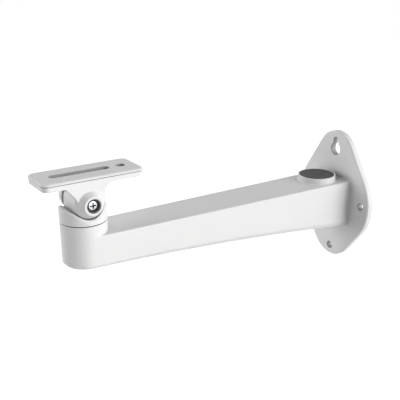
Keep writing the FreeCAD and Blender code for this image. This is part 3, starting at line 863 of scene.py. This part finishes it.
@dataclass
class CameraHead:
    """The tilting camera platform with the screw, washer and nut that clamp it."""

    bench: Bench
    coat: PowderCoat
    steel: bpy.types.Material
    plastic: bpy.types.Material
    nylon: bpy.types.Material
    # The camera slot, and the round hole behind it
    holes: tuple[HoleWithPaintedShade, ...] = (
        HoleWithPaintedShade((0, -270.8, 66.4), (0, 21.45, 2.9), 3.8),
        HoleWithPaintedShade((0, -235.8, 66.4), (0, 0, 2.9), 3.8),
    )
    # A painted shadow line, in the corner where the platform's lip stands out over its body
    painted_shadow_line: PaintedShadowLine = PaintedShadowLine(67.35, 0.75)
    # The tilt axis in Y and Z
    axis: tuple[float, float] = (-270.0, 48.0)
    screw_seat: float = 17.6
    screw_head_r: float = 4.0
    screw_head_height: float = 3.1
    # Points down the crown of the screw's head, as a radius and a drop from its top
    crown: tuple[tuple[float, float], ...] = ((0, 0), (3.0, 0), (3.5, 0.2), (3.85, 0.6))
    crown_drop: float = 1.2
    head_edge: float = 0.15
    screw_r: float = 2.0
    screw_end: float = -21.4
    thread_start: float = -16.6
    thread_pitch: float = 0.7
    # How far the core lies within the thread, and how far its run-out and its tapered tip reach
    core_inset: float = 0.4
    core_runout: float = 0.3
    tip_inset: float = 0.6
    tip_length: float = 0.25
    # How far short of the tip the thread ends
    thread_short: float = 0.2
    cross_length: float = 6.0
    cross_width: float = 1.4
    cross_depth: float = 2.1
    # What is left of the cross's length and width at its foot
    cross_taper: tuple[float, float] = (0.5, 0.75)
    # The cone in the middle of the cross: its radii at foot and top, and how far it passes foot and top
    core_radii: tuple[float, float] = (0.5, 1.35)
    core_past: tuple[float, float] = (0.1, 0.5)
    spring: RingSize = RingSize(3.9, 2.02, 16.6, 17.6)
    spring_cut: float = 1.2
    nut_width: float = 7.0
    nut_seat: float = 17.7
    nut_thickness: float = 3.2
    nut_hole_r: float = 2.02
    nut_countersink: float = 0.3
    # The nut's corners are turned off at this angle, from just inside its flats
    nut_corner_deg: float = 30.0
    nut_corner_inset: float = 0.1

    def origin(self, x: float) -> tuple[float, float, float]:
        """A place on the tilt axis."""
        return x, self.axis[0], self.axis[1]

    def dress_castings(self) -> None:
        """Coats the platform and gives the tongue's washers and the screw's cup their plastic."""
        self.bench.dress("tilt_head", self.coat.make("tilt_head", self.holes, self.painted_shadow_line))
        self.bench.dress("tilt_friction_washers", self.plastic)
        self.bench.dress("tilt_screw_cup", self.nylon)

    def build_recess(self) -> bpy.types.Object:
        """Builds the tapered cross that is cut into the screw's head.

        Returns:
            The cutter.
        """
        top = self.screw_head_height
        height = self.cross_depth + OVERSHOOT
        foot_length, foot_width = self.cross_taper
        bm = bmesh.new()
        for turn in (0, math.pi / 2):
            made = bmesh.ops.create_cube(bm, size=1)["verts"]
            bmesh.ops.scale(bm, vec=(self.cross_length, self.cross_width, height), verts=made)
            low = [vert for vert in made if vert.co.z < 0]
            bmesh.ops.scale(bm, vec=(foot_length, foot_width, 1), verts=low)
            bmesh.ops.translate(bm, vec=(0, 0, top + OVERSHOOT - height / 2), verts=made)
            bmesh.ops.rotate(bm, cent=(0, 0, 0), matrix=Matrix.Rotation(turn, 3, "Z"), verts=made)
        foot_r, top_r = self.core_radii
        past_foot, past_top = self.core_past
        depth = self.cross_depth + past_foot + past_top
        core = bmesh.ops.create_cone(bm, cap_ends=True, segments=24, radius1=foot_r, radius2=top_r,
                                     depth=depth)["verts"]
        bmesh.ops.translate(bm, vec=(0, 0, top + past_top - depth / 2), verts=core)
        return self.bench.place(bm, "cross_recess", self.origin(self.screw_seat), Direction.RIGHT)

    def build_screw(self) -> bpy.types.Object:
        """Builds the pan-head screw: domed head, cross recess and threaded end.

        Returns:
            The screw.
        """
        top = self.screw_head_height
        start = self.thread_start - self.screw_seat
        end = self.screw_end - self.screw_seat
        core_r = self.screw_r - self.core_inset
        profile = [(radius, top - drop) for radius, drop in self.crown]
        profile += [(self.screw_head_r, top - self.crown_drop), (self.screw_head_r, self.head_edge),
                    (self.screw_head_r - self.head_edge, 0), (self.screw_r, 0), (self.screw_r, start),
                    (core_r, start - self.core_runout), (core_r, end + self.tip_length),
                    (self.screw_r - self.tip_inset, end), (0, end)]
        bm = turned(profile, steps=72)
        join(bm, threaded_rod(self.screw_r, self.thread_pitch, end + self.thread_short,
                              start - end - self.thread_short))
        screw = self.bench.place(bm, "pan_head_tilt_screw", self.origin(self.screw_seat), Direction.RIGHT)
        self.bench.carve(screw, self.build_recess())
        return screw

    def build_spring(self) -> bpy.types.Object:
        """Builds the split spring washer under the screw's head."""
        bm = split_ring(self.spring, self.spring_cut)
        return self.bench.place(bm, "split_tilt_washer", self.origin(self.spring.start), Direction.RIGHT)

    def build_nut(self) -> bpy.types.Object:
        """Builds the hexagon nut, its outer corners turned off and its hole countersunk.

        Returns:
            The nut.
        """
        origin = self.origin(-self.nut_seat)
        top = self.nut_thickness
        bar = hexagon_bar(self.nut_width, 0, top)
        nut = self.bench.place(bar, "hexagon_tilt_nut", origin, Direction.LEFT)
        flat_r = self.nut_width / 2 - self.nut_corner_inset
        wide = self.nut_width / math.sqrt(3) + OVERSHOOT
        slope = (wide - flat_r) * math.tan(math.radians(self.nut_corner_deg))
        collar = turned([(flat_r, top + 0.01), (wide, top - slope), (wide, top + OVERSHOOT),
                         (flat_r, top + OVERSHOOT)], steps=72)
        self.bench.carve(nut, self.bench.place(collar, "corner_cutter", origin, Direction.LEFT))
        hole_r = self.nut_hole_r
        mouth_r = hole_r + self.nut_countersink
        drill = turned([(0, -OVERSHOOT), (mouth_r, -OVERSHOOT), (mouth_r, 0), (hole_r, self.nut_countersink),
                        (hole_r, top - self.nut_countersink), (mouth_r, top), (mouth_r, top + OVERSHOOT),
                        (0, top + OVERSHOOT)], steps=48)
        self.bench.carve(nut, self.bench.place(drill, "hole_cutter", origin, Direction.LEFT))
        return nut

    def build(self) -> None:
        """Builds and dresses the head's pieces."""
        self.dress_castings()
        self.bench.settle(self.build_screw(), self.steel, "plated_steel", "head", "tilt_screw")
        self.bench.settle(self.build_spring(), self.steel, "plated_steel", "head", "tilt_spring_washer")
        self.bench.settle(self.build_nut(), self.steel, "plated_steel", "head", "tilt_nut")


# The studio

@dataclass(frozen=True)
class SoftSun:
    """A wide, far lamp, named for the side that it lights from.

    Its azimuth runs counterclockwise from +X as seen from above, and its elevation up from level.
    """

    name: str
    azimuth_deg: float
    elevation_deg: float
    strength: float
    spread_deg: float = 50.0

    def build(self) -> None:
        """Adds the lamp."""
        lamp = bpy.data.lights.new(self.name, "SUN")
        lamp.energy = self.strength
        lamp.angle = math.radians(self.spread_deg)
        piece = bpy.data.objects.new(self.name, lamp)
        azimuth = math.radians(self.azimuth_deg)
        elevation = math.radians(self.elevation_deg)
        towards = Vector((math.cos(azimuth) * math.cos(elevation), math.sin(azimuth) * math.cos(elevation),
                          math.sin(elevation)))
        piece.rotation_euler = towards.to_track_quat("Z", "Y").to_euler()
        bpy.context.scene.collection.objects.link(piece)


@dataclass
class Studio:
    """A pale floor, soft lamps, a white surround and the photograph's viewpoint."""

    floor_z: float = -360.0
    floor_size: float = 6000.0
    floor_colour: str = "#E6E6E6"
    floor_lift: float = 0.80
    ambient: float = 0.06
    suns: list[SoftSun] = field(default_factory=lambda: [
        SoftSun("tall_box_behind_right", 60, 5, 1.2),
        SoftSun("tall_box_right", 18, 5, 2.12, 44.0),
        SoftSun("high_box_right", 35, 40, 0.7),
        SoftSun("tall_box_left", -134, 5, 1.6),
        SoftSun("high_box_left", -140, 40, 0.72),
        SoftSun("bounce_from_below", 0, -90, 0.3),
    ])
    # The viewpoint, and which way the right, the top and the back of its picture point
    eye: tuple[float, float, float] = (504.2, -481.8, 235.2)
    right: tuple[float, float, float] = (0.5497, 0.8354, 0.0)
    up: tuple[float, float, float] = (-0.3029, 0.1993, 0.9320)
    back: tuple[float, float, float] = (0.7785, -0.5123, 0.3626)
    lens: float = 65.78
    sensor: float = 36.0
    shift: tuple[float, float] = (-0.0266, 0.0616)
    sight_m: float = 20.0

    def seen(self, tree: bpy.types.NodeTree) -> bpy.types.NodeSocket:
        """Tells what the camera sees, directly, in a reflection or through glass.

        Args:
            tree: The node tree that gets the nodes.

        Returns:
            One for what is seen, and else zero.
        """
        path = add_node(tree, "ShaderNodeLightPath")
        mirrored = add_node(tree, "ShaderNodeMath", {"operation": "ADD", "use_clamp": True},
                            links={0: path.outputs["Is Camera Ray"], 1: path.outputs["Is Glossy Ray"]})
        shown = add_node(tree, "ShaderNodeMath", {"operation": "ADD", "use_clamp": True},
                         links={0: mirrored.outputs[0], 1: path.outputs["Is Transmission Ray"]})
        return shown.outputs[0]

    def build_world(self) -> None:
        """Lights evenly from all around, and shows plain white to the camera and in reflections."""
        world = bpy.data.worlds.new("white_surround")
        bpy.context.scene.world = world
        tree = empty_tree(world)
        level = add_node(tree, "ShaderNodeMapRange", values={"To Min": self.ambient, "To Max": 1.0},
                         links={"Value": self.seen(tree)})
        glow = add_node(tree, "ShaderNodeBackground", values={"Color": (1, 1, 1, 1)},
                        links={"Strength": level.outputs["Result"]})
        add_node(tree, "ShaderNodeOutputWorld", links={"Surface": glow.outputs["Background"]})

    def build_floor(self) -> None:
        """Lays the floor, which reads white where it is seen and keeps the object's shadow."""
        material = bpy.data.materials.new("pale_studio_floor")
        tree = empty_tree(material)
        lift = add_node(tree, "ShaderNodeMath", {"operation": "MULTIPLY"}, {1: self.floor_lift},
                        {0: self.seen(tree)})
        matt = add_node(tree, "ShaderNodeBsdfDiffuse", values={"Color": linear(self.floor_colour)})
        glow = add_node(tree, "ShaderNodeEmission", values={"Color": (1, 1, 1, 1)},
                        links={"Strength": lift.outputs[0]})
        both = add_node(tree, "ShaderNodeAddShader", links={0: matt.outputs[0], 1: glow.outputs[0]})
        add_node(tree, "ShaderNodeOutputMaterial", links={"Surface": both.outputs[0]})
        bm = bmesh.new()
        bmesh.ops.create_grid(bm, x_segments=4, y_segments=4, size=self.floor_size * MM / 2)
        bmesh.ops.translate(bm, vec=(0, 0, self.floor_z * MM), verts=bm.verts)
        mesh = bpy.data.meshes.new("studio_floor")
        bm.to_mesh(mesh)
        bm.free()
        mesh.materials.append(material)
        floor = bpy.data.objects.new("studio_floor", mesh)
        bpy.context.scene.collection.objects.link(floor)

    def build_camera(self) -> None:
        """Sets the camera at the photograph's viewpoint."""
        lens = bpy.data.cameras.new("viewpoint")
        lens.lens = self.lens
        lens.sensor_width = self.sensor
        lens.shift_x, lens.shift_y = self.shift
        lens.clip_end = self.sight_m
        camera = bpy.data.objects.new("viewpoint", lens)
        turn = Matrix((self.right, self.up, self.back)).transposed().to_4x4()
        camera.matrix_world = Matrix.Translation(Vector(self.eye) * MM) @ turn
        bpy.context.scene.collection.objects.link(camera)
        bpy.context.scene.camera = camera

    def build(self) -> None:
        """Sets up the studio."""
        self.build_world()
        self.build_floor()
        for sun in self.suns:
            sun.build()
        self.build_camera()
        bpy.context.scene.view_settings.view_transform = "Standard"
        LOG.info("studio ready")


def main() -> None:
    """Builds the object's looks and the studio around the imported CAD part."""
    logging.basicConfig(level=logging.INFO, format="%(name)s: %(message)s")
    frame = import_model()
    Studio().build()
    bench = Bench(frame["nodes"])
    steel = ZincPlate().make()
    plastic = TurnedAcetal().make()
    WallArm(bench, PowderCoat(), MouldedPolymer().make()).build()
    SwivelUnit(bench, FINE_COAT, steel, plastic).build()
    CameraHead(bench, FINE_COAT, steel, plastic, GREY_NYLON.make()).build()


if __name__ == "__main__":
    main()
